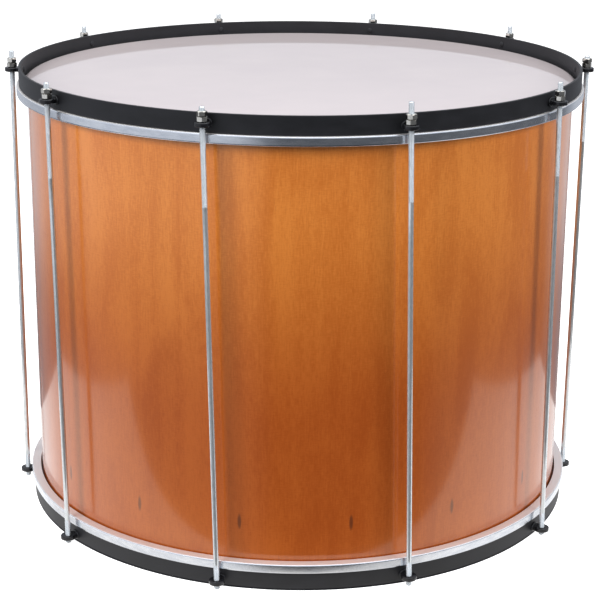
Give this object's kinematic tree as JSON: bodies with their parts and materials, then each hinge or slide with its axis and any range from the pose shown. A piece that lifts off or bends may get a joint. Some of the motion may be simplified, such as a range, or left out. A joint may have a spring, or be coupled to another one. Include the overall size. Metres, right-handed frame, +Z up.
{
  "type": "surdo bass drum",
  "caption": "Large two-headed bass drum: a varnished wooden shell between black steel counterhoops that full-length tension rods draw together.",
  "frame": {"origin": "on the floor, in the middle under the standing drum", "axes": "+Z up along the drum's axis, -Y towards the front of the picture, +X to its right"},
  "size_m": [0.6646, 0.639, 0.5132],
  "materials": {
    "shell_varnish": "glossy varnished plywood, upright grain",
    "bare_ply": "bare plywood, matt",
    "milky_film": "milky polyester film, glossy",
    "flesh_hoop_aluminium": "drawn aluminium channel, satin",
    "black_paint": "black paint on steel, semi-gloss",
    "zinc_plate": "bright zinc plate on drawn rod, rolled thread at both ends",
    "nickel_plate": "bright nickel plate"
  },
  "bodies": {
    "bottom_frame": {"bottom_counterhoop": "black_paint", "bottom_flesh_hoop": "flesh_hoop_aluminium", "bottom_ear_1": "black_paint", "bottom_ear_2": "black_paint", "bottom_ear_3": "black_paint", "bottom_ear_4": "black_paint", "bottom_ear_5": "black_paint", "bottom_ear_6": "black_paint", "bottom_ear_7": "black_paint", "bottom_ear_8": "black_paint", "bottom_ear_9": "black_paint", "bottom_ear_10": "black_paint", "tension_rod_1": "zinc_plate", "tension_rod_2": "zinc_plate", "tension_rod_3": "zinc_plate", "tension_rod_4": "zinc_plate", "tension_rod_5": "zinc_plate", "tension_rod_6": "zinc_plate", "tension_rod_7": "zinc_plate", "tension_rod_8": "zinc_plate", "tension_rod_9": "zinc_plate", "tension_rod_10": "zinc_plate"},
    "top_frame": {"top_counterhoop": "black_paint", "top_flesh_hoop": "flesh_hoop_aluminium", "top_ear_1": "black_paint", "top_ear_2": "black_paint", "top_ear_3": "black_paint", "top_ear_4": "black_paint", "top_ear_5": "black_paint", "top_ear_6": "black_paint", "top_ear_7": "black_paint", "top_ear_8": "black_paint", "top_ear_9": "black_paint", "top_ear_10": "black_paint"},
    "drum_shell": {"shell": "shell_varnish", "top_stiffening_ring": "bare_ply", "bottom_stiffening_ring": "bare_ply", "top_head_film": "milky_film", "bottom_head_film": "milky_film"},
    "nut_set_1": {"tension_nut_1": "nickel_plate", "lock_nut_1": "nickel_plate"},
    "nut_set_2": {"tension_nut_2": "nickel_plate", "lock_nut_2": "nickel_plate"},
    "nut_set_3": {"tension_nut_3": "nickel_plate", "lock_nut_3": "nickel_plate"},
    "nut_set_4": {"tension_nut_4": "nickel_plate", "lock_nut_4": "nickel_plate"},
    "nut_set_5": {"tension_nut_5": "nickel_plate", "lock_nut_5": "nickel_plate"},
    "nut_set_6": {"tension_nut_6": "nickel_plate", "lock_nut_6": "nickel_plate"},
    "nut_set_7": {"tension_nut_7": "nickel_plate", "lock_nut_7": "nickel_plate"},
    "nut_set_8": {"tension_nut_8": "nickel_plate", "lock_nut_8": "nickel_plate"},
    "nut_set_9": {"tension_nut_9": "nickel_plate", "lock_nut_9": "nickel_plate"},
    "nut_set_10": {"tension_nut_10": "nickel_plate", "lock_nut_10": "nickel_plate"}
  },
  "joints": [
    {"name": "top_rim_tune", "type": "slide", "parent": "bottom_frame", "child": "top_frame", "axis": [0, 0, -1], "range_m": [-0.0045, 0.006]},
    {"name": "shell_tune", "type": "slide", "parent": "bottom_frame", "child": "drum_shell", "axis": [0, 0, -1], "range_m": [-0.00225, 0.003]},
    {"name": "nut_1_turn", "type": "hinge", "parent": "top_frame", "child": "nut_set_1", "pos_m": [0.09999, -0.30829, 0.49605], "axis": [0.0213, 0.0073, -0.9997], "range_deg": [-1621, 2161]},
    {"name": "nut_2_turn", "type": "hinge", "parent": "top_frame", "child": "nut_set_2", "pos_m": [0.2621, -0.19064, 0.49755], "axis": [0.0128, 0.0183, -0.9998], "range_deg": [-1621, 2161]},
    {"name": "nut_3_turn", "type": "hinge", "parent": "top_frame", "child": "nut_set_3", "pos_m": [0.3241, -0.00017, 0.49935], "axis": [-0.0004, 0.0221, -0.9998], "range_deg": [-1621, 2161]},
    {"name": "nut_4_turn", "type": "hinge", "parent": "top_frame", "child": "nut_set_4", "pos_m": [0.26231, 0.19036, 0.49855], "axis": [-0.0134, 0.0178, -0.9998], "range_deg": [-1621, 2161]},
    {"name": "nut_5_turn", "type": "hinge", "parent": "top_frame", "child": "nut_set_5", "pos_m": [0.10032, 0.30819, 0.49815], "axis": [-0.0214, 0.0066, -0.9998], "range_deg": [-1621, 2161]},
    {"name": "nut_6_turn", "type": "hinge", "parent": "top_frame", "child": "nut_set_6", "pos_m": [-0.09999, 0.30829, 0.49855], "axis": [-0.0211, -0.0072, -0.9998], "range_deg": [-1621, 2161]},
    {"name": "nut_7_turn", "type": "hinge", "parent": "top_frame", "child": "nut_set_7", "pos_m": [-0.2621, 0.19064, 0.49745], "axis": [-0.0128, -0.0183, -0.9997], "range_deg": [-1621, 2161]},
    {"name": "nut_8_turn", "type": "hinge", "parent": "top_frame", "child": "nut_set_8", "pos_m": [-0.3241, 0.00017, 0.49765], "axis": [0.0004, -0.0224, -0.9997], "range_deg": [-1621, 2161]},
    {"name": "nut_9_turn", "type": "hinge", "parent": "top_frame", "child": "nut_set_9", "pos_m": [-0.26231, -0.19036, 0.49795], "axis": [0.0134, -0.0178, -0.9998], "range_deg": [-1621, 2161]},
    {"name": "nut_10_turn", "type": "hinge", "parent": "top_frame", "child": "nut_set_10", "pos_m": [-0.10032, -0.30819, 0.49845], "axis": [0.0213, -0.0065, -0.9998], "range_deg": [-1621, 2161]}
  ],
  "couplings": [
    {"joint": "shell_tune", "follows": "top_rim_tune", "ratio": 0.5},
    {"joint": "nut_1_turn", "follows": "top_rim_tune", "rad_per_m": 6283.2},
    {"joint": "nut_2_turn", "follows": "top_rim_tune", "rad_per_m": 6283.2},
    {"joint": "nut_3_turn", "follows": "top_rim_tune", "rad_per_m": 6283.2},
    {"joint": "nut_4_turn", "follows": "top_rim_tune", "rad_per_m": 6283.2},
    {"joint": "nut_5_turn", "follows": "top_rim_tune", "rad_per_m": 6283.2},
    {"joint": "nut_6_turn", "follows": "top_rim_tune", "rad_per_m": 6283.2},
    {"joint": "nut_7_turn", "follows": "top_rim_tune", "rad_per_m": 6283.2},
    {"joint": "nut_8_turn", "follows": "top_rim_tune", "rad_per_m": 6283.2},
    {"joint": "nut_9_turn", "follows": "top_rim_tune", "rad_per_m": 6283.2},
    {"joint": "nut_10_turn", "follows": "top_rim_tune", "rad_per_m": 6283.2}
  ]
}
